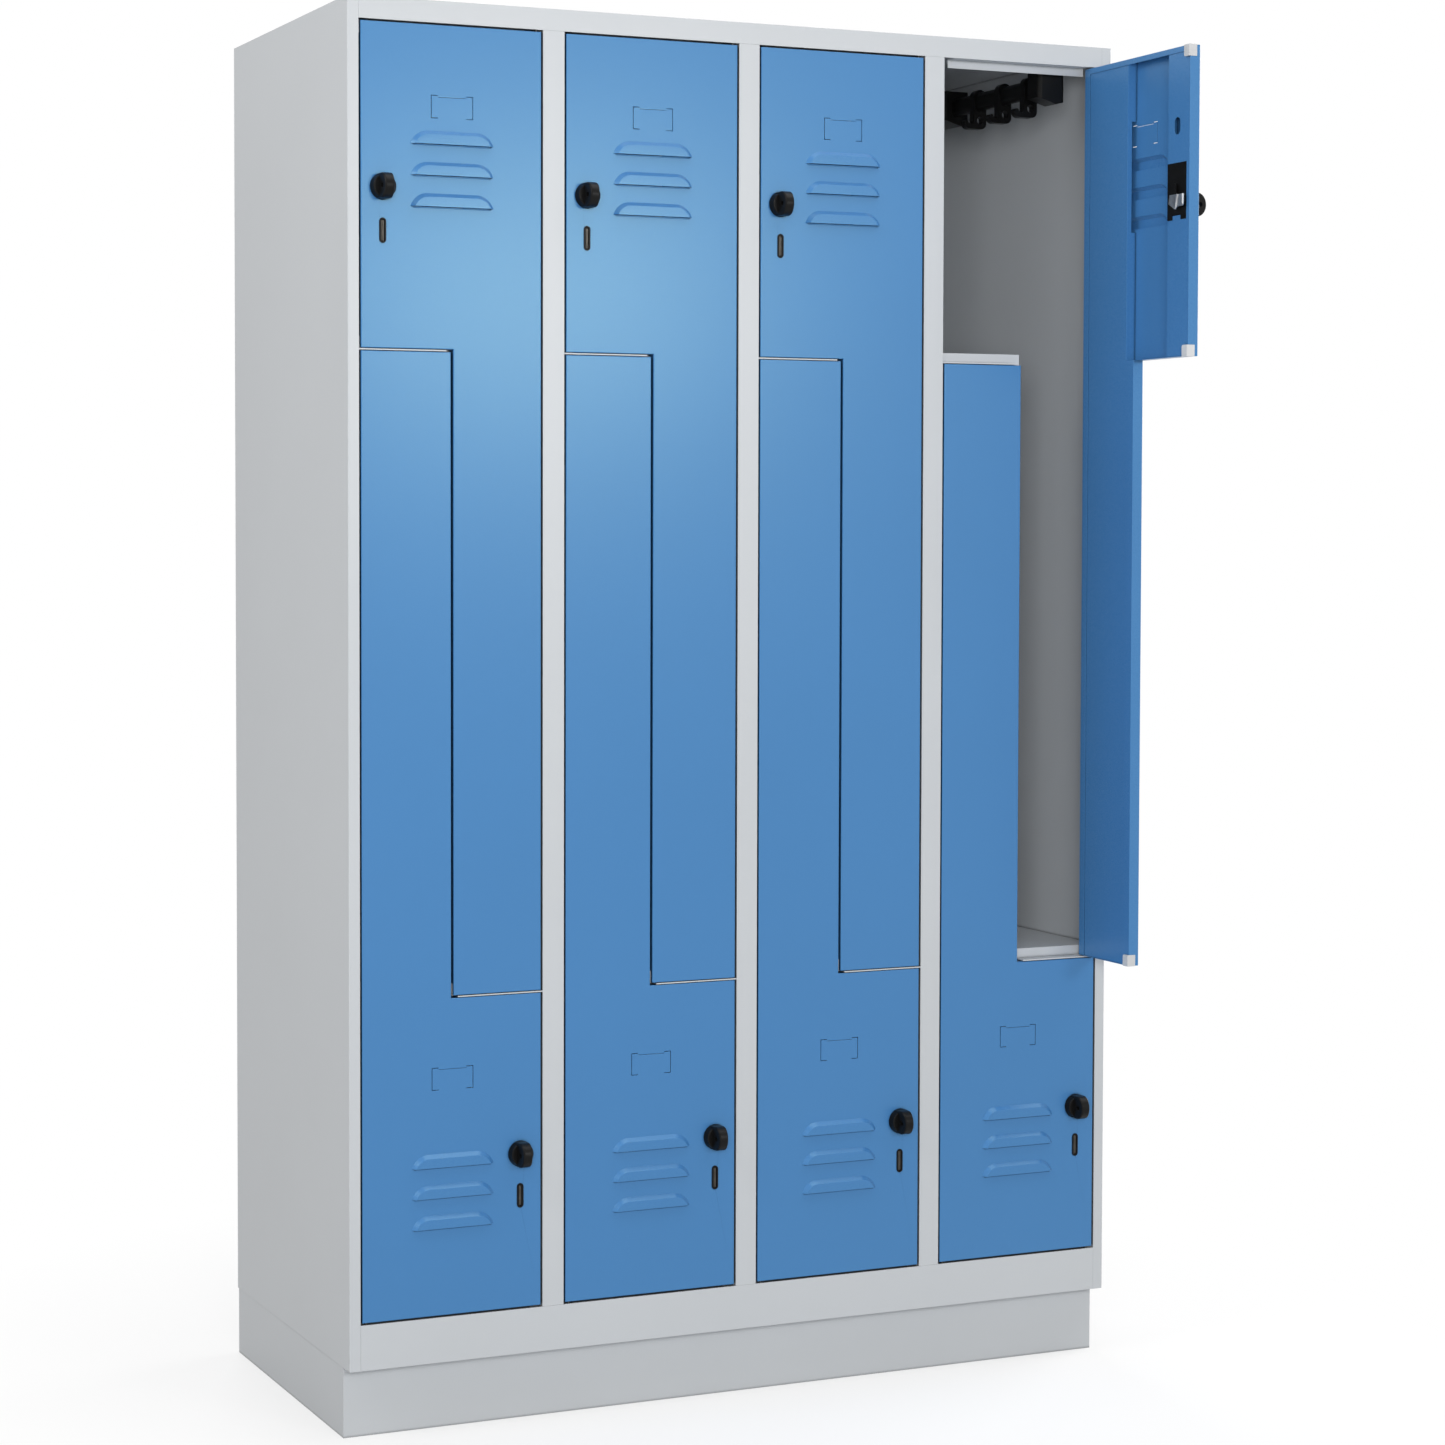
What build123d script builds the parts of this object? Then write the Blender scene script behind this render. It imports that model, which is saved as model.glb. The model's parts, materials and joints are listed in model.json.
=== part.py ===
from build123d import *

import os
from math import atan2, degrees, sqrt
from types import SimpleNamespace

# Overall size of the cabinet
cabinet_width = 1200.0
cabinet_depth = 500.0
cabinet_height = 1950.0
plinth_height = 98.0
column_count = 4

# Sheet metal of the body, plinth and doors
body_sheet = 1.0
plinth_sheet = 1.5
door_sheet = 1.0
bend_radius = 1.5

# Front frame: posts between columns, a post of half the width at each end, and two rails
post_width = 32.0
post_depth = 24.0
post_lip = 0.5
top_rail_height = 29.7
bottom_rail_height = 62.5
base_return = 45.0
stop_height = 11.5
stop_notch_free = 17.0
stop_notch_hinge = 19.5
pin_margin = 1.5
rear_return = 15.0
tray_lip = 25.0

# Z-shaped split of each column: a wider gap round the doors than between the two of a column
wide_part_height = 440.0
frame_gap = 2.6
door_gap = 1.7
fin_thickness = 1.8
fin_setback = 0.2
fin_end_gap = 8.0
edge_height = 30.0
edge_width = 14.0
edge_depth = 20.0

# Doors
door_depth = 17.0
wide_end_lip = 8.0
hinge_lip = 13.0
narrow_lip = 20.0
hinge_inset = 6.5
hinge_setback = 4.5
pin_radius = 2.0
pin_length = 12.0
pin_clearance = 0.3
open_angle = 90.0

# Stiffeners welded inside each door
lock_channel_width = 53.0
card_slot_depth = 8.5
card_slot_margin = 5.0
inspection_hole_width = 14.0
inspection_hole_height = 24.0
inspection_hole_rise = 109.7

# Pressed louvres and label frame on each door
louvre_count = 3
louvre_width = 123.0
louvre_height = 18.0
louvre_pitch = 42.0
louvre_rise = 5.5
louvre_bevel = 5.0
louvre_corner_drop = 8.0
louvre_groove = 2.0
louvre_groove_share = 0.6
label_width = 61.0
label_height = 31.0
label_tab_width = 10.0
label_slit = 0.8
label_line_drop = 2.5
label_line_width = 0.4
upper_label_drop = 96.8
upper_louvre_drop = 163.0
lower_label_rise = 344.1
lower_louvre_rise = 123.5

# Lock: knob, case, cam and slot insert
upper_knob_drop = 222.5
lower_knob_rise = 217.0
knob_inset = 33.8
knob_radius = 18.0
knob_height = 30.0
knob_foot = 10.0
knob_foot_top_radius = 16.0
knob_foot_edge = 1.5
grip_half_length = 17.0
grip_shoulder = 14.0
grip_base_width = 19.0
grip_top_width = 13.0
grip_edge = 2.5
grip_hole_radius = 3.3
grip_hole_height = 19.0
knob_lift = 0.3
spindle_radius = 6.5
spindle_clearance = 0.3
case_width = 44.4
case_height = 80.0
case_below_knob = 22.3
case_proud = 0.5
case_notch_width = 20.0
case_notch_height = 6.4
case_notch_clearance = 0.4
latch_arm_reach = 29.0
latch_arm_width = 10.0
latch_arm_thickness = 1.8
cam_outer_reach = 24.5
cam_inner_reach = 8.5
cam_top_reach = 5.5
cam_rise = 12.4
cam_fall = 8.5
cam_tip_place = 6.0
cam_thickness = 1.8
cam_flap_thickness = 1.4
cam_tab_width = 1.8
cam_tab_rise = 1.6
slot_insert_drop = 58.5
slot_insert_width = 9.7
slot_insert_height = 34.0
slot_insert_rim = 2.2
slot_insert_proud = 1.0
slot_insert_depth = 7.0
slot_insert_recess = 4.0
strike_thickness = 1.2
strike_height = 24.0
strike_reach = 7.5
strike_clearance = 0.6
cam_clearance = 0.4

# Corner buffers
buffer_width = 11.5
buffer_height = 16.0
buffer_wrap = 11.0
buffer_wall = 0.5
buffer_proud = 2.5
buffer_clearance = 0.3
buffer_corner = 3.0

# Coat rails and their hooks
bracket_width = 46.0
bracket_depth = 30.0
bracket_height = 81.0
bracket_left_taper = 9.0
bracket_right_taper = 3.5
bracket_corner = 7.0
bracket_setback = 30.0
lower_bracket_setback = 45.0
rear_bracket_drop = 28.0
rail_length = 240.0
rail_width = 16.0
rail_height = 28.0
rail_drop = 39.0
hook_count = 3
hook_setback = 64.0
hook_pitch = 71.5
hook_length = 13.0
hook_clearance = 0.4
hook_wall = 2.6
hook_crown = 4.5
hook_wire = 5.4
hook_window_drop = 8.0
hook_window_height = 12.0
hook_floor = 7.5
hook_prong_gap = 9.7
hook_prong_rise = 13.2
hook_corner = 9.0
hook_tip_radius = 2.4

# Plinth
plinth_setback = 30.0
plinth_side_inset = 1.5
plinth_lip = 25.0
brace_lip = 20.0

# A named overrun for cuts that run right through
overrun = 1.0

# Shares of a piece's own size
bracket_tip_share = 0.66
flap_top_share = 0.5
flap_foot_share = 0.33
cam_heel_share = 0.25
cam_step_share = 0.45
cam_toe_share = 0.55

# Places that follow from the sizes above
front = -cabinet_depth / 2
column_pitch = cabinet_width / column_count
opening_width = column_pitch - post_width
end_post_width = post_width / 2
opening_bottom = plinth_height + bottom_rail_height
opening_top = cabinet_height - top_rail_height
upper_split = opening_top - wide_part_height
lower_split = opening_bottom + wide_part_height
half_inside = cabinet_width / 2 - body_sheet
stop_depth = door_depth + buffer_proud + buffer_clearance
rear_face = cabinet_depth - 2 * body_sheet
ceiling = cabinet_height - body_sheet
upper_shelf_top = upper_split + edge_height / 2
lower_shelf_top = lower_split + edge_height / 2
wide_width = opening_width - 2 * frame_gap
narrow_width = opening_width / 2 - frame_gap - door_gap
strike_depth = door_depth + strike_clearance
arm_depth = strike_depth + strike_thickness + cam_clearance
cam_depth = arm_depth + latch_arm_thickness
knob_place = wide_width + frame_gap - knob_inset
lock_channel_place = wide_width - lock_channel_width
hinge_box_width = narrow_width - narrow_lip


def column_centre(column):
    return (column + 1 / 2) * column_pitch - cabinet_width / 2


def block(x_span, depth_span, z_span):
    """A box between two X, two depths behind the front face and two heights."""
    spans = (x_span, [front + depth for depth in depth_span], z_span)
    middle = [sum(span) / 2 for span in spans]
    size = [abs(span[1] - span[0]) for span in spans]
    return Pos(*middle) * Box(*size)


def slab(outline, near, far):
    """A flat piece with an outline of X and height, between two depths."""
    face = Plane.XZ * make_face(Polyline(*outline, close=True))
    return Pos(0, front + near, 0) * extrude(face, amount=far - near, dir=(0, 1, 0))


def upright(outline, bottom, top):
    """A vertical profile with an outline of X and depth, between two heights."""
    points = [(x, front + depth) for x, depth in outline]
    face = make_face(Polyline(*points, close=True))
    return Pos(0, 0, bottom) * extrude(face, amount=top - bottom, dir=(0, 0, 1))


def rod(x, z, radius, near, far):
    """A round bar along the depth."""
    place = Pos(x, front + (near + far) / 2, z) * Rot(90, 0, 0)
    return place * Cylinder(radius, far - near)


def pill(x, z, width, height, near, far):
    """A bar along the depth with two round ends, longer along its larger size."""
    face = SlotOverall(max(width, height), min(width, height), rotation=90 if height > width else 0)
    placed = Pos(x, front + near, z) * (Plane.XZ * face)
    return extrude(placed, amount=far - near, dir=(0, 1, 0))


def fuse(pieces):
    """One solid of several that share faces."""
    first, *others = pieces
    return first.fuse(*others).clean() if others else first


# Body panels

def side_panel(side):
    """One bent sheet: the side, the half-width post at its front and the return at its back."""
    sheet = body_sheet
    inner = end_post_width
    depth = cabinet_depth
    shape = [
        (0, 0), (inner, 0), (inner, post_depth), (inner - sheet, post_depth),
        (inner - sheet, sheet), (sheet, sheet), (sheet, depth - sheet),
        (rear_return, depth - sheet), (rear_return, depth), (0, depth),
    ]
    outline = [(side * (cabinet_width / 2 - inward), depth_here) for inward, depth_here in shape]
    panel = upright(outline, plinth_height, cabinet_height)
    outer_face = panel.faces().sort_by(Axis.X)[-1 if side > 0 else 0]
    bends = outer_face.edges().filter_by(Axis.Z)
    panel = fillet(bends, bend_radius)
    room_for_roof = block(
        (-half_inside, half_inside),
        (body_sheet, cabinet_depth - body_sheet),
        (ceiling, cabinet_height + overrun),
    )
    return panel - room_for_roof


def roof_panel():
    """The top sheet with a flange down its back."""
    sheet = block(
        (-half_inside, half_inside),
        (body_sheet, cabinet_depth - body_sheet),
        (ceiling, cabinet_height),
    )
    half_flange = cabinet_width / 2 - rear_return
    flange = block(
        (-half_flange, half_flange),
        (cabinet_depth - body_sheet, cabinet_depth),
        (cabinet_height - rear_return, cabinet_height),
    )
    return fuse([sheet, flange])


def rear_panel():
    """The back sheet, held by the returns of the side panels and the roof's flange."""
    return block((-half_inside, half_inside), (rear_face, rear_face + body_sheet), (plinth_height, ceiling))


def floor_panel():
    """An upturned tray: the compartment floor on flanges whose lips rest on the plinth."""
    sheet = body_sheet
    top = opening_bottom
    floor = block((-half_inside, half_inside), (post_depth, rear_face), (top - sheet, top))
    box = block((-half_inside, half_inside), (base_return, rear_face), (plinth_height, top - sheet))
    inside = half_inside - sheet
    hollow = block(
        (-inside, inside),
        (base_return + sheet, rear_face - sheet),
        (plinth_height + sheet, top - sheet),
    )
    mouth_half = half_inside - tray_lip
    mouth = block(
        (-mouth_half, mouth_half),
        (base_return + tray_lip, rear_face - tray_lip),
        (plinth_height - overrun, plinth_height + sheet),
    )
    return fuse([floor, box - hollow - mouth])


def middle_post(place):
    """A post between two columns, with a slot at its back for the column divider."""
    half, sheet, depth = post_width / 2, body_sheet, post_depth
    right = [
        (half, 0), (half, depth), (post_lip, depth),
        (post_lip, depth - sheet), (half - sheet, depth - sheet), (half - sheet, sheet),
    ]
    left = [(-x, depth_here) for x, depth_here in reversed(right)]
    outline = [(place + x, depth_here) for x, depth_here in right + left]
    return upright(outline, opening_bottom, opening_top)


def rail(edge, outer, return_end, hinge_way, stop_way):
    """A frame rail: its front, the return at the opening with its notches, and the door stops."""
    half = cabinet_width / 2 - end_post_width
    sheet = body_sheet
    return_span = (edge, edge - stop_way * sheet)
    bent = block((-half, half), (sheet, return_end), return_span)
    stops = []
    for column in range(column_count):
        hinge_x = column_centre(column) + hinge_way * opening_width / 2
        free_x = column_centre(column) - hinge_way * opening_width / 2
        hinge_end = hinge_x - hinge_way * stop_notch_hinge
        free_end = free_x + hinge_way * stop_notch_free
        past_pin = hinge_setback + pin_radius + pin_margin
        bent -= block((free_x, free_end), (sheet, return_end + overrun), return_span)
        bent -= block((hinge_x, hinge_end), (past_pin, return_end + overrun), return_span)
        stop_span = (edge, edge + stop_way * stop_height)
        stops.append(block((hinge_end, free_end), (stop_depth, stop_depth + sheet), stop_span))
    return [block((-half, half), (0, sheet), (edge, outer)), bent] + stops


def front_frame():
    """The posts between the columns and the two rails, which butt against them."""
    behind_stop = stop_depth + body_sheet
    top = fuse(rail(opening_top, cabinet_height, behind_stop, 1, -1))
    base_lip = block(
        (end_post_width - cabinet_width / 2, cabinet_width / 2 - end_post_width),
        (body_sheet, base_return),
        (plinth_height, plinth_height + body_sheet),
    )
    bottom = fuse(rail(opening_bottom, plinth_height, post_depth, -1, 1) + [base_lip])
    posts = [middle_post(column * column_pitch - cabinet_width / 2) for column in range(1, column_count)]
    return [top, bottom] + posts


def column_dividers():
    """The full-height sheets between the columns."""
    half = body_sheet / 2
    places = [column * column_pitch - cabinet_width / 2 for column in range(1, column_count)]
    depths = (post_depth - body_sheet, rear_face)
    return [block((x - half, x + half), depths, (opening_bottom, ceiling)) for x in places]


def column_walls(column):
    """The two X between which a column's compartments lie, behind the frame."""
    middle, half = column_centre(column), column_pitch / 2
    left = -half_inside if column == 0 else middle - half + body_sheet / 2
    right = half_inside if column == column_count - 1 else middle + half - body_sheet / 2
    return left, right


def partition_shelves():
    """The two level sheets of the Z in each column."""
    shelves = []
    depths = (stop_depth + edge_depth, rear_face)
    half = body_sheet / 2
    upper_heights = (upper_shelf_top - body_sheet, upper_shelf_top)
    lower_heights = (lower_shelf_top - body_sheet, lower_shelf_top)
    for column in range(column_count):
        middle = column_centre(column)
        left, right = column_walls(column)
        shelves.append(block((left, middle + half), depths, upper_heights))
        shelves.append(block((middle - half, right), depths, lower_heights))
    return shelves


def partition_walls():
    """The upright sheets of the Z, each with a nose inside the centre edge profile."""
    walls = []
    half = body_sheet / 2
    edge_end = stop_depth + edge_depth
    for column in range(column_count):
        x_span = (column_centre(column) - half, column_centre(column) + half)
        inset = edge_height / 2 + body_sheet
        nose_heights = (lower_split + inset, upper_split - inset)
        wall = block(x_span, (edge_end, rear_face), (lower_shelf_top, upper_shelf_top - body_sheet))
        nose = block(x_span, (stop_depth + body_sheet, edge_end), nose_heights)
        walls.append(fuse([wall, nose]))
    return walls


def level_span(height, thickness):
    """The heights of the underside and the top of something level, from its middle."""
    return height - thickness / 2, height + thickness / 2


def open_channel(x_span, z_span):
    """An edge profile whose closed face looks to the front."""
    sheet = body_sheet
    near, far = stop_depth, stop_depth + edge_depth
    hollow = block(
        (x_span[0] + sheet, x_span[1] - sheet),
        (near + sheet, far + overrun),
        (z_span[0] + sheet, z_span[1] - sheet),
    )
    return block(x_span, (near, far), z_span) - hollow


def partition_edges():
    """Three profiles in each column that edge the Z, and the thin fins between the doors."""
    edges = []
    half_edge, half_width, half_opening = edge_height / 2, edge_width / 2, opening_width / 2
    fin_depths = (fin_setback, stop_depth)
    for column in range(column_count):
        middle = column_centre(column)
        left, right = middle - half_opening, middle + half_opening
        centre_span = (middle - half_width, middle + half_width)
        edges += [
            open_channel((left, middle + half_width), level_span(upper_split, edge_height)),
            open_channel(centre_span, (lower_split + half_edge, upper_split - half_edge)),
            open_channel((middle - half_width, right), level_span(lower_split, edge_height)),
            block((left, middle - fin_end_gap), fin_depths, level_span(upper_split, fin_thickness)),
            block((middle + fin_end_gap, right), fin_depths, level_span(lower_split, fin_thickness)),
        ]
    return edges


def plinth():
    """Four boards and a brace between them, each an upright web with a lip above and below."""
    sheet = plinth_sheet
    half = cabinet_width / 2 - plinth_side_inset
    near, far = plinth_setback, cabinet_depth - plinth_side_inset
    lips = ((0, sheet), (plinth_height - sheet, plinth_height))
    front_lip = (near + sheet, near + plinth_lip)
    rear_lip = (far - plinth_lip, far - sheet)
    boards = []
    for web, lip in (((near, near + sheet), front_lip), ((far - sheet, far), rear_lip)):
        pieces = [block((-half, half), web, (0, plinth_height))]
        pieces += [block((-half, half), lip, z_span) for z_span in lips]
        boards.append(fuse(pieces))
    webs = (
        ((-half, sheet - half), (-half, plinth_lip - half)),
        ((half - sheet, half), (half - plinth_lip, half)),
        ((-sheet / 2, sheet / 2), (-brace_lip, brace_lip)),
    )
    for web, lip in webs:
        pieces = [block(web, (near + sheet, far - sheet), (sheet, plinth_height - sheet))]
        pieces += [block(lip, (front_lip[1], rear_lip[0]), z_span) for z_span in lips]
        boards.append(fuse(pieces))
    return boards


# Doors

def make_door(column, upper):
    """Where one door lies when closed: its hinge edge, its ends and its fittings' heights."""
    middle = column_centre(column)
    way = -1 if upper else 1
    level = "upper" if upper else "lower"
    door = SimpleNamespace(name=f"door_{column + 1}_{level}", upper=upper, way=way)
    door.hinge_edge = middle - way * (opening_width / 2 - frame_gap)
    door.up = 1 if upper else -1
    if upper:
        door.end = opening_top - frame_gap
        door.step = upper_split + door_gap
        door.tail = lower_split + door_gap
        door.knob_z = opening_top - upper_knob_drop
        door.label_top = opening_top - upper_label_drop
        door.louvre_bottom = opening_top - upper_louvre_drop - (louvre_count - 1) * louvre_pitch
    else:
        door.end = opening_bottom + frame_gap
        door.step = lower_split - door_gap
        door.tail = upper_split - door_gap
        door.knob_z = opening_bottom + lower_knob_rise
        door.label_top = opening_bottom + lower_label_rise
        door.louvre_bottom = opening_bottom + lower_louvre_rise
    door.middle = middle
    door.pin_x = door.hinge_edge + way * hinge_inset
    door.knob_x = door.hinge_edge + way * knob_place
    door.stands_open = upper and column == column_count - 1
    return door


def across(door, *places):
    """Places across the door, counted from its hinge edge, as X in rising order."""
    return sorted(door.hinge_edge + door.way * place for place in places)


def door_outline(door, inset):
    """The door's outline of X and height, drawn in by an inset all round."""
    tail, step, end = door.tail + door.up * inset, door.step + door.up * inset, door.end - door.up * inset
    corners = [
        (inset, tail), (narrow_width - inset, tail), (narrow_width - inset, step),
        (wide_width - inset, step), (wide_width - inset, end), (inset, end),
    ]
    return [(door.hinge_edge + door.way * place, z) for place, z in corners]


def louvre_hood(radius_less, base, tip):
    """The top of a tapered pill that rises out of the door between two heights."""
    taper = louvre_bevel / louvre_rise
    faces = []
    for rise in (base, tip):
        less = 2 * (radius_less + rise * taper)
        face = SlotOverall(louvre_width - less, 2 * (louvre_height + louvre_corner_drop) - less)
        faces.append(Pos(0, -louvre_corner_drop, rise) * face)
    solid = loft(faces, ruled=True)
    upper_half = Box(2 * louvre_width, 2 * louvre_height, 2 * (tip - base))
    upper_half = Pos(0, louvre_height, (base + tip) / 2) * upper_half
    return Rot(90, 0, 0) * (solid & upper_half)


def louvre_grooves(door):
    """The shallow grooves that the press leaves in the sheet below the lip of each louvre."""
    half = louvre_width / 2 - louvre_bevel
    span = (door.middle - half, door.middle + half)
    depths = (-overrun, door_sheet * louvre_groove_share)
    tops = [door.louvre_bottom + place * louvre_pitch for place in range(louvre_count)]
    return [block(span, depths, (top - louvre_groove, top)) for top in tops]


def label_slits(door):
    """The cuts round the two tabs that hold a name card, and the fine one between them."""
    cut = (-overrun, door_sheet + overrun)
    top, bottom = door.label_top, door.label_top - label_height
    tab_inner = label_width / 2 - label_tab_width
    slits = []
    for side in (-1, 1):
        inner = door.middle + side * tab_inner
        outer = door.middle + side * label_width / 2
        slits += [
            block((outer, outer - side * label_slit), cut, (bottom, top)),
            block((inner, outer), cut, (top - label_slit, top)),
            block((inner, outer), cut, (bottom, bottom + label_slit)),
        ]
    line_top = top - label_line_drop
    inner_span = (door.middle - tab_inner, door.middle + tab_inner)
    return slits + [block(inner_span, cut, (line_top - label_line_width, line_top))]


def door_skin(door):
    """The pressed front sheet with its flanges, lips, louvres, label frame and lock holes."""
    sheet = door_sheet
    body = slab(door_outline(door, 0), 0, door_depth)
    body = fillet(body.faces().sort_by(Axis.Y)[0].edges(), bend_radius)
    hollow = slab(door_outline(door, sheet), sheet, door_depth + overrun)
    hollow = fillet(hollow.faces().sort_by(Axis.Y)[0].edges(), bend_radius - sheet)
    skin = body - hollow
    lip_depths = (door_depth - sheet, door_depth)
    tail_inside, step_inside, end_inside = (
        door.tail + door.up * sheet, door.step + door.up * sheet, door.end - door.up * sheet
    )
    lips = [
        block(across(door, sheet, hinge_lip), lip_depths, sorted((tail_inside, end_inside))),
        block(across(door, hinge_lip, wide_width - sheet), lip_depths,
              sorted((end_inside, door.end - door.up * wide_end_lip))),
        block(across(door, narrow_width - narrow_lip, narrow_width - sheet), lip_depths,
              sorted((tail_inside, step_inside))),
    ]
    skin = skin.fuse(*lips)
    outer_hood = louvre_hood(0, 0, louvre_rise)
    inner_hood = louvre_hood(sheet, -sheet, louvre_rise - sheet)
    hood = outer_hood - inner_hood
    for place in range(louvre_count):
        spot = Pos(door.middle, front, door.louvre_bottom + place * louvre_pitch)
        skin = (skin - spot * inner_hood).fuse(spot * hood)
    for cut in label_slits(door) + louvre_grooves(door):
        skin -= cut
    skin -= rod(door.knob_x, door.knob_z, spindle_radius + spindle_clearance, -overrun, sheet + overrun)
    inner_width = slot_insert_width - slot_insert_rim
    inner_height = slot_insert_height - slot_insert_rim
    slot_z = door.knob_z - slot_insert_drop
    skin -= pill(door.knob_x, slot_z, inner_width, inner_height, -overrun, sheet + overrun)
    for z in (door.end, door.tail):
        hole = Cylinder(pin_radius + pin_clearance, 2 * (sheet + overrun))
        skin -= Pos(door.pin_x, front + hinge_setback, z) * hole
    return [skin.clean()]


def door_stiffeners(door):
    """The wide box on the hinge side and the channel behind the lock."""
    sheet = door_sheet
    inner, outer = door_depth - 2 * sheet, door_depth - sheet
    tail_inside, step_inside, end_inside = (
        door.tail + door.up * sheet, door.step + door.up * sheet, door.end - door.up * sheet
    )
    long_span, short_span = sorted((tail_inside, end_inside)), sorted((step_inside, end_inside))
    bend = bend_radius - sheet
    hinge_box = fuse([
        block(across(door, sheet, hinge_box_width), (inner, outer), long_span),
        block(
            across(door, hinge_box_width - sheet, hinge_box_width),
            (sheet, inner),
            (long_span[0] + bend, long_span[1] - bend),
        ),
    ])
    hinge_box -= block(
        across(door, hinge_box_width - sheet - overrun, hinge_box_width + overrun),
        (sheet - overrun, card_slot_depth),
        (door.louvre_bottom - card_slot_margin, door.label_top + card_slot_margin),
    )
    channel = fuse([
        block(across(door, lock_channel_place, wide_width - sheet), (inner, outer), short_span),
        block(
            across(door, lock_channel_place, lock_channel_place + sheet),
            (sheet, inner),
            (short_span[0] + bend, short_span[1] - bend),
        ),
    ])
    case_bottom = door.knob_z - case_below_knob
    channel -= block(
        across(door, lock_channel_place - overrun, lock_channel_place + case_width),
        (sheet - overrun, door_depth),
        (case_bottom, case_bottom + case_height),
    )
    tongue_half = case_notch_width / 2 - case_notch_clearance
    channel = channel.fuse(block(
        (door.knob_x - tongue_half, door.knob_x + tongue_half),
        (inner, outer),
        (case_bottom, case_bottom + case_notch_height - case_notch_clearance),
    ))
    channel -= pill(
        door.knob_x, door.knob_z + inspection_hole_rise,
        inspection_hole_width, inspection_hole_height, inner - overrun, outer + overrun,
    )
    return [hinge_box, channel]


def door_lock(door):
    """The lock case behind the knob and the slot insert below it."""
    case_bottom = door.knob_z - case_below_knob
    case = block(
        across(door, lock_channel_place, lock_channel_place + case_width),
        (door_sheet, door_depth - door_sheet + case_proud),
        (case_bottom, case_bottom + case_height),
    )
    case -= block(
        (door.knob_x - case_notch_width / 2, door.knob_x + case_notch_width / 2),
        (0, door_depth + overrun),
        (case_bottom - overrun, case_bottom + case_notch_height),
    )
    case -= rod(door.knob_x, door.knob_z, spindle_radius + spindle_clearance, 0, door_depth + overrun)
    slot_z = door.knob_z - slot_insert_drop
    inner_width = slot_insert_width - slot_insert_rim
    inner_height = slot_insert_height - slot_insert_rim
    insert = pill(door.knob_x, slot_z, slot_insert_width, slot_insert_height, -slot_insert_proud, 0)
    insert = insert.fuse(pill(door.knob_x, slot_z, inner_width, inner_height, 0, slot_insert_depth))
    mouth = 2 * slot_insert_rim
    insert -= pill(
        door.knob_x, slot_z, slot_insert_width - mouth, slot_insert_height - mouth,
        -slot_insert_proud - overrun, slot_insert_recess,
    )
    return [case, insert]


def knob_body(door):
    """A round foot with an upright grip across it, which has a hole for a padlock, on a spindle."""
    foot = Pos(0, 0, knob_foot / 2) * Cone(knob_radius, knob_foot_top_radius, knob_foot)
    foot = fillet(foot.edges().sort_by(Axis.Z)[-1], knob_foot_edge)
    half_base, half_top = grip_base_width / 2, grip_top_width / 2
    flanks = make_face(Polyline(
        (-half_base, 0), (half_base, 0), (half_top, knob_height), (-half_top, knob_height), close=True,
    ))
    flanks = Pos(0, knob_radius, 0) * extrude(Plane.XZ * flanks, amount=2 * knob_radius)
    cap = Plane.YZ * Ellipse(grip_half_length, knob_height - grip_shoulder)
    cap = extrude(Pos(-knob_radius, 0, grip_shoulder) * cap, amount=2 * knob_radius, dir=(1, 0, 0))
    trunk = Pos(0, 0, grip_shoulder / 2) * Box(2 * knob_radius, 2 * grip_half_length, grip_shoulder)
    grip = flanks & cap.fuse(trunk).clean()
    top_edges = [edge for edge in grip.edges() if edge.center().Z > knob_height - 2 * grip_edge]
    grip = fillet(top_edges, grip_edge) & Pos(0, 0, knob_height / 2) * Cylinder(knob_radius, knob_height)
    grip -= Pos(0, 0, grip_hole_height) * Rot(0, 90, 0) * Cylinder(grip_hole_radius, 2 * knob_radius)
    knob = Pos(door.knob_x, front - knob_lift, door.knob_z) * Rot(90, 0, 0) * foot.fuse(grip)
    spindle = rod(door.knob_x, door.knob_z, spindle_radius, -knob_lift, arm_depth)
    return fuse([knob, spindle])


def latch_arm(door):
    """The arm behind the lock case, upright at rest, that turns behind the strike plate."""
    half = latch_arm_width / 2
    middle = door.knob_z + (latch_arm_reach - half) / 2
    return pill(door.knob_x, middle, latch_arm_width, latch_arm_reach + half, arm_depth, cam_depth)


def knob_cam(door):
    """The plate over the latch arm: an uneven outline with a flap on it and an upturned end."""
    flap_depth = cam_depth + cam_thickness
    toe = -cam_fall * cam_toe_share
    heel = -cam_fall * cam_heel_share
    back = [(cam_tip_place, -cam_fall), (-cam_inner_reach, 0), (-cam_top_reach, cam_rise)]
    plate = [
        (cam_outer_reach, cam_rise), (cam_outer_reach, heel), (cam_outer_reach - cam_tab_width, toe),
        (cam_outer_reach * cam_step_share, toe), *back,
    ]
    flap = [(cam_outer_reach * flap_top_share, cam_rise), (cam_outer_reach * flap_foot_share, toe), *back]

    def placed(outline):
        return [(door.knob_x + door.way * across_x, door.knob_z + up) for across_x, up in outline]

    tip = door.knob_x + door.way * cam_outer_reach
    tab = block(
        (tip, tip - door.way * cam_tab_width),
        (flap_depth, flap_depth + cam_tab_rise),
        (door.knob_z + heel, door.knob_z + cam_rise),
    )
    return fuse([
        slab(placed(plate), cam_depth, flap_depth),
        slab(placed(flap), flap_depth, flap_depth + cam_flap_thickness),
        tab,
    ])


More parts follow.
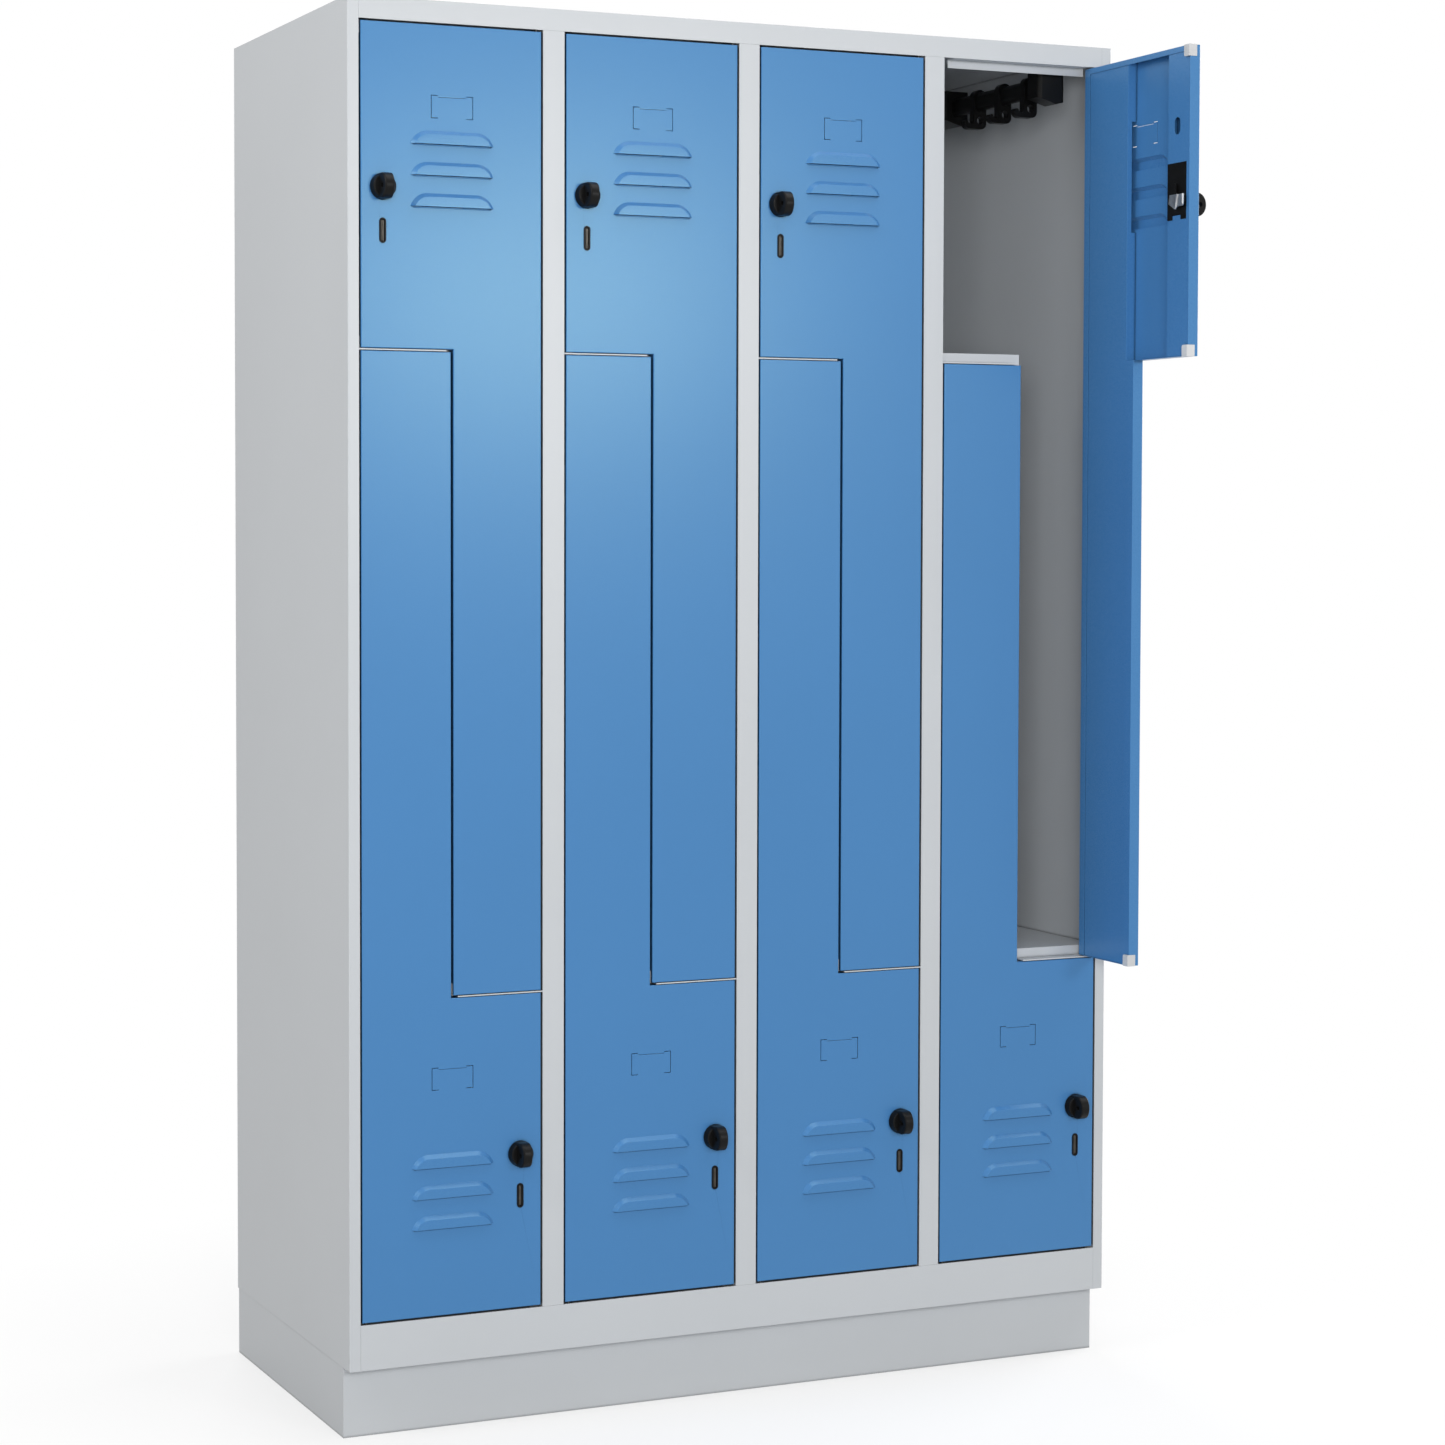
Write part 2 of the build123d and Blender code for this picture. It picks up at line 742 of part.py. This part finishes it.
def door_buffers(door):
    """Plastic clips over the free corners of the door, each with a pad at the back."""
    corners = (
        (wide_width, door.end, -door.up),
        (wide_width, door.step, door.up),
        (narrow_width, door.tail, door.up),
    )
    clips = []
    for place, z, inward in corners:
        x_span = across(door, place + buffer_wall, place - buffer_width)
        z_span = sorted((z - inward * buffer_wall, z + inward * buffer_height))
        clip = block(x_span, (door_depth - buffer_wrap, door_depth + buffer_proud), z_span)
        clip -= block(
            across(door, place, place - buffer_width - overrun),
            (door_depth - buffer_wrap - overrun, door_depth),
            sorted((z, z + inward * (buffer_height + overrun))),
        )
        depth_edges = clip.edges().filter_by(Axis.Y)
        pad_edges = [edge for edge in depth_edges if edge.center().Y > front + door_depth]
        pad_edges.sort(key=lambda edge: door.way * edge.center().X)
        inner_edges = pad_edges[:2]
        clips.append(fillet(inner_edges, buffer_corner))
    return clips


def hinge_pins(doors):
    """Two upright pins for each door, welded to the frame and to the fins between the doors."""
    pins = []
    for door in doors:
        rail_end = door.end + door.up * frame_gap
        fin_end = door.tail - door.up * (door_gap - fin_thickness / 2)
        for start, way in ((rail_end, -door.up), (fin_end, door.up)):
            place = Pos(door.pin_x, front + hinge_setback, start + way * pin_length / 2)
            pins.append(place * Cylinder(pin_radius, pin_length))
    return pins


def strike_plates(doors):
    """A short tongue for each door, on the post beside the lock, which the turned arm goes behind."""
    plates = []
    for door in doors:
        post_face = wide_width + frame_gap
        z_span = level_span(door.knob_z, strike_height)
        tongue = block(
            across(door, post_face, post_face - strike_reach),
            (strike_depth, strike_depth + strike_thickness), z_span,
        )
        foot = block(
            across(door, post_face, post_face - strike_thickness),
            (strike_depth + strike_thickness, post_depth), z_span,
        )
        plates.append(fuse([tongue, foot]))
    return plates


# Coat rails

def rail_places():
    """The middle X, ceiling height and setback of each compartment's coat rail, uppers first."""
    offset = opening_width / 4
    lower_roof = upper_shelf_top - body_sheet
    middles = [column_centre(column) for column in range(column_count)]
    uppers = [(x + offset, ceiling, bracket_setback) for x in middles]
    lowers = [(x - offset, lower_roof, lower_bracket_setback) for x in middles]
    return uppers, lowers


def rail_bracket(x, top, low, near, far):
    """A moulded bracket with a blunt point below, between two depths."""
    half = bracket_width / 2
    tip = x - half + bracket_width * bracket_tip_share
    outline = [
        (x - half, top), (x - half, low + bracket_left_taper), (tip, low),
        (x + half, low + bracket_right_taper), (x + half, top),
    ]
    bracket = slab(outline, near, far)
    return fillet(bracket.faces().sort_by(Axis.Y)[0].edges().filter_by(Axis.Z), bracket_corner)


def rail_brackets():
    """A bracket under the ceiling in front of each bar and one on the rear panel behind it."""
    brackets = []
    for x, roof, setback in sum(rail_places(), []):
        rear = setback + bracket_depth + rail_length
        low = roof - bracket_height
        brackets.append(rail_bracket(x, roof, low, setback, setback + bracket_depth))
        brackets.append(rail_bracket(x, roof - rear_bracket_drop, low, rear, rear_face))
    return brackets


def coat_rails():
    """Oval bars that run from front to back between their brackets."""
    bars = []
    for x, roof, setback in sum(rail_places(), []):
        near = setback + bracket_depth
        middle = roof - rail_drop - rail_height / 2
        bars.append(pill(x, middle, rail_width, rail_height, near, near + rail_length))
    return bars


def coat_hook(x, roof, depth):
    """A hook with one prong, below a collar that slides on the bar and a window under the bar."""
    z = roof - rail_drop - rail_height / 2
    bore_width, bore_height = rail_width + 2 * hook_clearance, rail_height + 2 * hook_clearance
    near, far = depth - hook_length / 2, depth + hook_length / 2
    cut = (near - overrun, far + overrun)
    half = bore_width / 2 + hook_wall
    collar = pill(x, z, 2 * half, bore_height + 2 * hook_crown, near, far)
    window_top = z - rail_height / 2 - hook_window_drop
    window_bottom = window_top - hook_window_height
    underside = window_bottom - hook_floor
    prong_end = half + hook_prong_gap + hook_wire
    tip = underside + hook_prong_rise
    body = block((x - half, x + half), (near, far), (underside, z))
    body = body.fuse(block((x - prong_end, x), (near, far), (underside, tip))).clean()
    body = fillet(body.faces().sort_by(Axis.Z)[0].edges().filter_by(Axis.Y), hook_corner)
    slot_top = tip + hook_prong_gap
    slot_middle = x - half - hook_prong_gap / 2
    slot_height = slot_top - window_bottom
    body -= pill(slot_middle, slot_top - slot_height / 2, hook_prong_gap, slot_height, *cut)
    tip_edges = [
        edge for edge in body.edges().filter_by(Axis.Y)
        if edge.center().X < slot_middle and edge.center().Z > tip - hook_tip_radius
    ]
    body = fillet(tip_edges, hook_tip_radius)
    window_middle = (window_top + window_bottom) / 2
    body -= pill(x, window_middle, 2 * (half - hook_wire), hook_window_height, *cut)
    return fuse([collar, body]) - pill(x, z, bore_width, bore_height, *cut)


def row_of_hooks(x, roof, setback):
    """The hooks of one bar, at the same distances along it on every bar."""
    first = setback + hook_setback
    return [coat_hook(x, roof, first + place * hook_pitch) for place in range(hook_count)]


# All nodes

def swing(pieces, door):
    """The pieces of a door turned about its hinge pins, as far as the door stands open."""
    if not door.stands_open:
        return pieces
    axis = Axis((door.pin_x, front + hinge_setback, 0), (0, 0, 1))
    return [piece.rotate(axis, open_angle) for piece in pieces]


def all_nodes():
    doors = [make_door(column, upper) for column in range(column_count) for upper in (True, False)]
    nodes = {
        "side_panels": [side_panel(-1), side_panel(1)],
        "roof_panel": [roof_panel()],
        "rear_panel": [rear_panel()],
        "floor_panel": [floor_panel()],
        "front_frame": front_frame(),
        "column_dividers": column_dividers(),
        "partition_shelves": partition_shelves(),
        "partition_walls": partition_walls(),
        "partition_edges": partition_edges(),
        "plinth": plinth(),
        "hinge_pins": hinge_pins(doors),
        "strike_plates": strike_plates(doors),
        "rail_brackets": rail_brackets(),
        "coat_rails": coat_rails(),
    }
    for door in doors:
        nodes[f"{door.name}_skin"] = swing(door_skin(door), door)
        nodes[f"{door.name}_stiffeners"] = swing(door_stiffeners(door), door)
        nodes[f"{door.name}_lock"] = swing(door_lock(door), door)
        nodes[f"{door.name}_buffers"] = swing(door_buffers(door), door)
        knob, arm, cam = swing([knob_body(door), latch_arm(door), knob_cam(door)], door)
        if door.stands_open:
            nodes[f"{door.name}_knob"] = [knob, arm]
            nodes[f"{door.name}_cam"] = [cam]
        else:
            nodes[f"{door.name}_knob"] = [knob, arm, cam]
    uppers, lowers = rail_places()
    for name, hook in zip(("front_hook", "middle_hook", "rear_hook"), row_of_hooks(*uppers[-1])):
        nodes[name] = [hook]
    nodes["closed_upper_hooks"] = [hook for place in uppers[:-1] for hook in row_of_hooks(*place)]
    nodes["closed_lower_hooks"] = [hook for place in lowers for hook in row_of_hooks(*place)]
    return nodes


os.makedirs("parts", exist_ok=True)
for node, solids in all_nodes().items():
    export_step(Compound(children=solids) if len(solids) > 1 else solids[0], f"parts/{node}.step")
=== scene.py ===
import json
from math import cos, pi, radians, sin

import bmesh
import bpy
from mathutils import Matrix, Vector


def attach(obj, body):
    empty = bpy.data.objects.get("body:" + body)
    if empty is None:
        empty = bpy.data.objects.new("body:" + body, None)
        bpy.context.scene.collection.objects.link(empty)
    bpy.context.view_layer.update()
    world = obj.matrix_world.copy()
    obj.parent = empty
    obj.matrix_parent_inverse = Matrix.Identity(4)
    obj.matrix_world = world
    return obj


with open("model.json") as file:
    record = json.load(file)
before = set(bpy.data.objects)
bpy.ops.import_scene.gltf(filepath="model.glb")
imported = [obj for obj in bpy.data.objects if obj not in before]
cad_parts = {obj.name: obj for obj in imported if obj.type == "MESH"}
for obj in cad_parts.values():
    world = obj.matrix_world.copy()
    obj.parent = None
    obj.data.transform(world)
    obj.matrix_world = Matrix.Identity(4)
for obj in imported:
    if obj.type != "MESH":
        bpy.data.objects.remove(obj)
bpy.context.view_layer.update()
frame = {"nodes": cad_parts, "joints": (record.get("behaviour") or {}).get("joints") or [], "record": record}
nodes = frame["nodes"]
joints = {joint["name"]: joint for joint in frame["joints"]}
slots = {part["node"]: part["material_slot"] for part in frame["record"]["subparts"]}

# The photograph's size, centre of view and focal length, in its own pixels
photo_size = 1445
centre_pixel = (500, 640)
focal_pixels = 3034.6

# Where its camera stood in metres, how it was turned in radians, and the sensor's width in millimetres
camera_place = (-1.96797, -4.08398, 1.24380)
camera_turn = 0.3927
camera_tilt = 0.0377
sensor_width = 36.0

# Finish colours, as linear red, green and blue, and how rough and how reflective each finish is
grey_paint = (0.487, 0.508, 0.528)
grey_roughness = 0.35
plain_gloss = (1, 1, 1)
blue_paint = (0.052, 0.180, 0.410)
blue_roughness = 0.28
blue_gloss = (0.68, 1.0, 0.84)
black_moulding = (0.005, 0.005, 0.005)
black_roughness = 0.36
black_specular = 0.14
grey_moulding = (0.56, 0.57, 0.58)
grey_moulding_roughness = 0.5
plain_specular = 0.5

# A noise has most of its values between these
noise_low = 0.3
noise_high = 0.7

# Powder coat: noise scales per metre, depths and reach in metres, the rest as shares
cloud_scale = 3.1
cloud_contrast = 0.015
peel_scale = 310.0
peel_strength = 0.05
peel_depth = 0.0006
grain_scale = 1900.0
grain_strength = 0.04
grain_depth = 0.0002
grain_roughness = 0.04
# Painted shade in gaps and folds: how far it looks for near surfaces in metres, its darkest share, and its
# samples
painted_shade_reach = 0.006
painted_shade_darkest = 0.12
painted_shade_samples = 6

# Painted shade is at its darkest below the first share of open sky and gone above the second
painted_shade_closed = 0.3
painted_shade_open = 0.8

# Moulded plastic, in the same units
moulding_cloud_scale = 24.0
moulding_contrast = 0.1
moulding_grain_scale = 900.0
moulding_grain_strength = 0.12
moulding_grain_depth = 0.0002
moulding_grain_roughness = 0.06

# Bare metals, in the same units; a stretch below 1 draws the lines out along that axis
zinc_look = {
    "dull": (0.56, 0.57, 0.58),
    "bright": (0.74, 0.75, 0.76),
    "blotch_scale": 60.0,
    "blotch_detail": 3.0,
    "line_scale": 500.0,
    "line_stretch": (1.0, 1.0, 0.06),
    "line_strength": 0.1,
    "line_depth": 0.0002,
    "smoothest": 0.24,
    "roughest": 0.38,
}
dark_steel_look = {
    "dull": (0.075, 0.070, 0.063),
    "bright": (0.115, 0.107, 0.095),
    "blotch_scale": 90.0,
    "blotch_detail": 2.0,
    "line_scale": 900.0,
    "line_stretch": (1.0, 1.0, 0.05),
    "line_strength": 0.12,
    "line_depth": 0.0001,
    "smoothest": 0.34,
    "roughest": 0.5,
}

# Edges: widths in metres, angles in degrees
weld_reach = 0.000005
sheet_edge = 0.0003
moulding_edge = 0.0006
edge_steps = 2
frame_edge_angle = 30
piece_edge_angle = 40
corner_angle = 60

# The shutter in the slot insert below each knob, in metres
slot_drop = 0.0585
shutter_height = 0.0276
shutter_blade = 0.0015
shutter_gap = 0.0004
shutter_front = 0.0001
shutter_back = 0.0035
shutter_end_steps = 8
knob_joint_ending = "_knob_turn"

# Light, in metres and strengths
world_level = 0.31
background_level = 1.0
locker_middle = (0, -0.2, 1.1)

# Floor: its white glow grows from a share at the near distance to the whole at the far one, in metres
floor_half = 30.0
floor_bounce = (0.45, 0.45, 0.45)
floor_seen = (0.86, 0.86, 0.86)
near_glow = 0.6
near_distance = 0.6
far_distance = 1.2


# Camera

def make_camera():
    """The photograph's camera, with its off-centre view as lens shift."""
    data = bpy.data.cameras.new("camera")
    data.sensor_width = sensor_width
    data.lens = focal_pixels / photo_size * sensor_width
    data.shift_x = (photo_size / 2 - centre_pixel[0]) / photo_size
    data.shift_y = (centre_pixel[1] - photo_size / 2) / photo_size
    camera = bpy.data.objects.new("camera", data)
    camera.location = camera_place
    camera.rotation_euler = (pi / 2 - camera_tilt, 0, -camera_turn)
    bpy.context.scene.collection.objects.link(camera)
    bpy.context.scene.camera = camera


# Materials

def new_material(name):
    """An empty node material with its shader, output and object coordinates."""
    material = bpy.data.materials.new(name)
    material.use_nodes = True
    tree = material.node_tree
    tree.nodes.clear()
    output = tree.nodes.new("ShaderNodeOutputMaterial")
    shader = tree.nodes.new("ShaderNodeBsdfPrincipled")
    place = tree.nodes.new("ShaderNodeTexCoord")
    tree.links.new(shader.outputs["BSDF"], output.inputs["Surface"])
    return material, tree, shader, place.outputs["Object"]


def noise(tree, place, scale, detail=2.0, stretch=None):
    """A noise value, if asked stretched by a factor along each axis."""
    if stretch:
        mapping = tree.nodes.new("ShaderNodeMapping")
        mapping.inputs["Scale"].default_value = stretch
        tree.links.new(place, mapping.inputs["Vector"])
        place = mapping.outputs["Vector"]
    node = tree.nodes.new("ShaderNodeTexNoise")
    node.inputs["Scale"].default_value = scale
    node.inputs["Detail"].default_value = detail
    tree.links.new(place, node.inputs["Vector"])
    return node.outputs["Fac"]


def spread(tree, value, low, high, lowest=noise_low, highest=noise_high):
    """A value between lowest and highest brought into the range from low to high."""
    node = tree.nodes.new("ShaderNodeMapRange")
    node.inputs["From Min"].default_value = lowest
    node.inputs["From Max"].default_value = highest
    node.inputs["To Min"].default_value = low
    node.inputs["To Max"].default_value = high
    tree.links.new(value, node.inputs["Value"])
    return node.outputs["Result"]


def tone(tree, value, dark, light):
    """A colour between two, by a value of 0 to 1."""
    node = tree.nodes.new("ShaderNodeMix")
    node.data_type = "RGBA"
    node.inputs["A"].default_value = (*dark, 1)
    node.inputs["B"].default_value = (*light, 1)
    tree.links.new(value, node.inputs["Factor"])
    return node.outputs["Result"]


def contrast(tree, value, colour, share):
    """A colour that a value of 0 to 1 makes darker and lighter by a share."""
    dark, light = ([channel * factor for channel in colour] for factor in (1 - share, 1 + share))
    return tone(tree, value, dark, light)


def bump(tree, height, strength, distance, under=None):
    """A normal bent by a height, over another bent normal if one is given."""
    node = tree.nodes.new("ShaderNodeBump")
    node.inputs["Strength"].default_value = strength
    node.inputs["Distance"].default_value = distance
    tree.links.new(height, node.inputs["Height"])
    if under:
        tree.links.new(under, node.inputs["Normal"])
    return node.outputs["Normal"]


def painted_gap_shade(tree, colour):
    """A colour with painted shade in narrow gaps and folds, darker where little open sky is near."""
    open_share = tree.nodes.new("ShaderNodeAmbientOcclusion")
    open_share.samples = painted_shade_samples
    open_share.inputs["Distance"].default_value = painted_shade_reach
    node = tree.nodes.new("ShaderNodeMix")
    node.data_type = "RGBA"
    node.blend_type = "MULTIPLY"
    node.inputs["Factor"].default_value = 1.0
    tree.links.new(colour, node.inputs["A"])
    openness = open_share.outputs["AO"]
    grey = spread(tree, openness, painted_shade_darkest, 1, painted_shade_closed, painted_shade_open)
    tree.links.new(grey, node.inputs["B"])
    return node.outputs["Result"]


def powder_coat(name, colour, roughness, gloss):
    """Sprayed and baked paint: faint clouds of tone, painted shade in gaps and folds, orange peel and a fine
    grain.
    """
    material, tree, shader, place = new_material(name)
    shader.inputs["Specular Tint"].default_value = (*gloss, 1)
    clouds = spread(tree, noise(tree, place, cloud_scale, detail=3.0), 0, 1)
    paint = contrast(tree, clouds, colour, cloud_contrast)
    # The paint colour gets painted shade in its gaps and folds
    tree.links.new(painted_gap_shade(tree, paint), shader.inputs["Base Color"])
    peel = noise(tree, place, peel_scale, detail=1.0)
    grain = noise(tree, place, grain_scale)
    rough = spread(tree, grain, roughness - grain_roughness, roughness + grain_roughness)
    tree.links.new(rough, shader.inputs["Roughness"])
    relief = bump(tree, peel, peel_strength, peel_depth)
    relief = bump(tree, grain, grain_strength, grain_depth, relief)
    tree.links.new(relief, shader.inputs["Normal"])
    return material


def moulded_plastic(name, colour, roughness, specular):
    """Moulded plastic with a fine spark-eroded grain."""
    material, tree, shader, place = new_material(name)
    shader.inputs["Specular IOR Level"].default_value = specular
    clouds = spread(tree, noise(tree, place, moulding_cloud_scale), 0, 1)
    tree.links.new(contrast(tree, clouds, colour, moulding_contrast), shader.inputs["Base Color"])
    grain = noise(tree, place, moulding_grain_scale)
    swing = moulding_grain_roughness
    rough = spread(tree, grain, roughness - swing, roughness + swing)
    tree.links.new(rough, shader.inputs["Roughness"])
    relief = bump(tree, grain, moulding_grain_strength, moulding_grain_depth)
    tree.links.new(relief, shader.inputs["Normal"])
    return material


def bare_metal(name, look):
    """Bare steel: drawn-out lines from rolling or brushing, under faint blotches of tone."""
    material, tree, shader, place = new_material(name)
    shader.inputs["Metallic"].default_value = 1.0
    blotches = spread(tree, noise(tree, place, look["blotch_scale"], look["blotch_detail"]), 0, 1)
    tree.links.new(tone(tree, blotches, look["dull"], look["bright"]), shader.inputs["Base Color"])
    lines = noise(tree, place, look["line_scale"], stretch=look["line_stretch"])
    rough = spread(tree, lines, look["smoothest"], look["roughest"])
    tree.links.new(rough, shader.inputs["Roughness"])
    relief = bump(tree, lines, look["line_strength"], look["line_depth"])
    tree.links.new(relief, shader.inputs["Normal"])
    return material


def make_materials():
    """Every finish by its name."""
    makers = {
        "grey_powder_coat": (powder_coat, grey_paint, grey_roughness, plain_gloss),
        "blue_powder_coat": (powder_coat, blue_paint, blue_roughness, blue_gloss),
        "black_plastic": (moulded_plastic, black_moulding, black_roughness, black_specular),
        "grey_plastic": (moulded_plastic, grey_moulding, grey_moulding_roughness, plain_specular),
        "zinc_steel": (bare_metal, zinc_look),
        "dark_steel": (bare_metal, dark_steel_look),
    }
    return {name: make(name, *look) for name, (make, *look) in makers.items()}


# Edges and smooth faces

def smooth(data):
    """All faces of a mesh shade smoothly."""
    data.polygons.foreach_set("use_smooth", [True] * len(data.polygons))


def soften_edges(piece, width, angle):
    """Edges sharper than an angle get a narrow rounding that catches the light."""
    bevel = piece.modifiers.new("edges", "BEVEL")
    bevel.width = width
    bevel.segments = edge_steps
    bevel.limit_method = "ANGLE"
    bevel.angle_limit = radians(angle)


def split_corners(piece):
    """Faces that still meet at a sharp corner don't share their shading."""
    split = piece.modifiers.new("corners", "EDGE_SPLIT")
    split.split_angle = radians(corner_angle)
    split.use_edge_sharp = False


def flatten_shading(piece):
    """Large faces stay flat beside the rounded edges."""
    normals = piece.modifiers.new("normals", "WEIGHTED_NORMAL")
    normals.keep_sharp = True


# The pieces that come from the frame

def dress(node, material, edge):
    """A frame piece gets its material, smooth faces and soft edges."""
    node.data.materials.clear()
    node.data.materials.append(material)
    smooth(node.data)
    weld = node.modifiers.new("weld", "WELD")
    weld.merge_threshold = weld_reach
    soften_edges(node, edge, frame_edge_angle)
    split_corners(node)
    flatten_shading(node)


def dress_all(materials):
    """Every frame piece is dressed by its slot; the hinge pins are darker than other steel."""
    edges = {"black_plastic": moulding_edge, "grey_plastic": moulding_edge}
    finishes = {"hinge_pins": "dark_steel"}
    for name, node in nodes.items():
        slot = slots[name]
        dress(node, materials[finishes.get(name, slot)], edges.get(slot, sheet_edge))


# Pieces that the frame has no solids for

def rounded_bar(mesh, x_low, x_high, bottom, top, near, far):
    """An upright bar with a round end above and below, between two depths."""
    middle, radius = (x_low + x_high) / 2, (x_high - x_low) / 2
    outline = []
    for centre_z, first in ((bottom + radius, pi), (top - radius, 0)):
        for step in range(shutter_end_steps + 1):
            angle = first + pi * step / shutter_end_steps
            outline.append((middle + radius * cos(angle), centre_z + radius * sin(angle)))
    rings = [[mesh.verts.new((x, depth, z)) for x, z in outline] for depth in (near, far)]
    mesh.faces.new(rings[0])
    mesh.faces.new(list(reversed(rings[1])))
    count = len(outline)
    for index in range(count):
        after = (index + 1) % count
        mesh.faces.new((rings[0][after], rings[0][index], rings[1][index], rings[1][after]))


def add_piece(name, mesh, matrix, material, body, edge):
    """A new piece made from a mesh in its own place, with soft edges, riding on a body."""
    bmesh.ops.recalc_face_normals(mesh, faces=mesh.faces)
    data = bpy.data.meshes.new(name)
    mesh.to_mesh(data)
    mesh.free()
    data.materials.append(material)
    smooth(data)
    piece = bpy.data.objects.new(name, data)
    piece.matrix_world = matrix
    bpy.context.scene.collection.objects.link(piece)
    soften_edges(piece, edge, piece_edge_angle)
    flatten_shading(piece)
    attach(piece, body)


def lock_places():
    """Each door's name and the frame of its knob: X across, Y into the door, Z up."""
    for name, joint in joints.items():
        if name.endswith(knob_joint_ending):
            along_x, along_y = (abs(share) for share in joint["axis"][:2])
            turn = Matrix.Rotation(pi / 2 if along_x > along_y else 0, 4, "Z")
            place = Matrix.Translation(joint["pos_m"]) @ turn
            yield name.removesuffix(knob_joint_ending), place


def make_shutters(material):
    """Two slim blades close the slot insert of each door."""
    bottom = -slot_drop - shutter_height / 2
    top = -slot_drop + shutter_height / 2
    for door, place in lock_places():
        mesh = bmesh.new()
        for side in (-1, 1):
            inner, outer = side * shutter_gap / 2, side * (shutter_gap / 2 + shutter_blade)
            left, right = sorted((inner, outer))
            rounded_bar(mesh, left, right, bottom, top, -shutter_front, shutter_back)
        add_piece(f"{door}_shutter", mesh, place, material, door, sheet_edge)


# Light and floor

def soft_box(name, place, target, width, height, power, mirrored=True):
    """A studio lamp of some size in metres and power in watts, which the paint may mirror."""
    data = bpy.data.lights.new(name, "AREA")
    data.shape = "RECTANGLE"
    data.size = width
    data.size_y = height
    data.energy = power
    light = bpy.data.objects.new(name, data)
    light.location = place
    light.rotation_euler = (Vector(target) - Vector(place)).to_track_quat("-Z", "Y").to_euler()
    light.visible_camera = False
    light.visible_glossy = mirrored
    bpy.context.scene.collection.objects.link(light)


def combine(tree, operation, first, second):
    """The result of a calculation with two values."""
    node = tree.nodes.new("ShaderNodeMath")
    node.operation = operation
    tree.links.new(first, node.inputs[0])
    tree.links.new(second, node.inputs[1])
    return node.outputs[0]


def mix_shaders(tree, share, first, second):
    """The first shader where the share is 0 and the second where it is 1."""
    mix = tree.nodes.new("ShaderNodeMixShader")
    tree.links.new(share, mix.inputs["Fac"])
    tree.links.new(first.outputs[0], mix.inputs[1])
    tree.links.new(second.outputs[0], mix.inputs[2])
    return mix.outputs[0]


def seen_rays(tree):
    """1 for the camera's rays and for reflected and transmitted ones, else 0."""
    path = tree.nodes.new("ShaderNodeLightPath")
    total = path.outputs["Is Camera Ray"]
    for name in ("Is Glossy Ray", "Is Transmission Ray"):
        total = combine(tree, "MAXIMUM", total, path.outputs[name])
    return total


def background(tree, strength):
    """White light of one strength from all sides."""
    node = tree.nodes.new("ShaderNodeBackground")
    node.inputs["Strength"].default_value = strength
    node.inputs["Color"].default_value = (1, 1, 1, 1)
    return node


def make_world():
    """A white background that lights the object less than it shows."""
    world = bpy.data.worlds.new("studio")
    bpy.context.scene.world = world
    world.use_nodes = True
    tree = world.node_tree
    tree.nodes.clear()
    output = tree.nodes.new("ShaderNodeOutputWorld")
    light, white = background(tree, world_level), background(tree, background_level)
    tree.links.new(mix_shaders(tree, seen_rays(tree), light, white), output.inputs["Surface"])


def make_lights():
    """Soft boxes around the object, each turned to it."""
    soft_box("highlight_box", (1.72, -5.2, 1.98), (0, -0.25, 1.3), width=1.1, height=0.4, power=44)
    soft_box("front_left_box", (-2.1, -4.9, 1.7), locker_middle,
             width=2.4, height=1.8, power=165, mirrored=False)
    soft_box("left_box", (-3.2, -0.6, 3.3), locker_middle, width=1.8, height=1.8, power=48)
    soft_box("top_box", (1.3, -1.1, 4.3), (1.3, -1.1, 0), width=4.0, height=2.4, power=64)
    soft_box("right_box", (4.4, 1.2, 2.4), locker_middle, width=2.4, height=2.4, power=95)
    soft_box("back_box", (0.3, 4.8, 2.4), locker_middle,
             width=3.0, height=2.4, power=130, mirrored=False)


def floor_material():
    """Pale paint that fades to white away from the object and throws less light back than it shows."""
    material = bpy.data.materials.new("pale_floor")
    material.use_nodes = True
    tree = material.node_tree
    tree.nodes.clear()
    output = tree.nodes.new("ShaderNodeOutputMaterial")
    paint = tree.nodes.new("ShaderNodeBsdfDiffuse")
    seen = seen_rays(tree)
    tree.links.new(tone(tree, seen, floor_bounce, floor_seen), paint.inputs["Color"])
    glow = tree.nodes.new("ShaderNodeEmission")
    place = tree.nodes.new("ShaderNodeTexCoord")
    distance = tree.nodes.new("ShaderNodeVectorMath")
    distance.operation = "LENGTH"
    tree.links.new(place.outputs["Object"], distance.inputs[0])
    white = spread(tree, distance.outputs["Value"], near_glow, 1, near_distance, far_distance)
    share = combine(tree, "MULTIPLY", white, seen)
    tree.links.new(mix_shaders(tree, share, paint, glow), output.inputs["Surface"])
    return material


def make_floor():
    """A large level floor that isn't part of the object."""
    mesh = bpy.data.meshes.new("floor")
    signs = ((-1, -1), (1, -1), (1, 1), (-1, 1))
    corners = [(floor_half * x, floor_half * y, 0) for x, y in signs]
    mesh.from_pydata(corners, [], [(0, 1, 2, 3)])
    mesh.materials.append(floor_material())
    floor = bpy.data.objects.new("floor", mesh)
    bpy.context.scene.collection.objects.link(floor)


bpy.context.scene.view_settings.view_transform = "Standard"
make_camera()
materials = make_materials()
dress_all(materials)
make_shutters(materials["dark_steel"])
make_world()
make_lights()
make_floor()
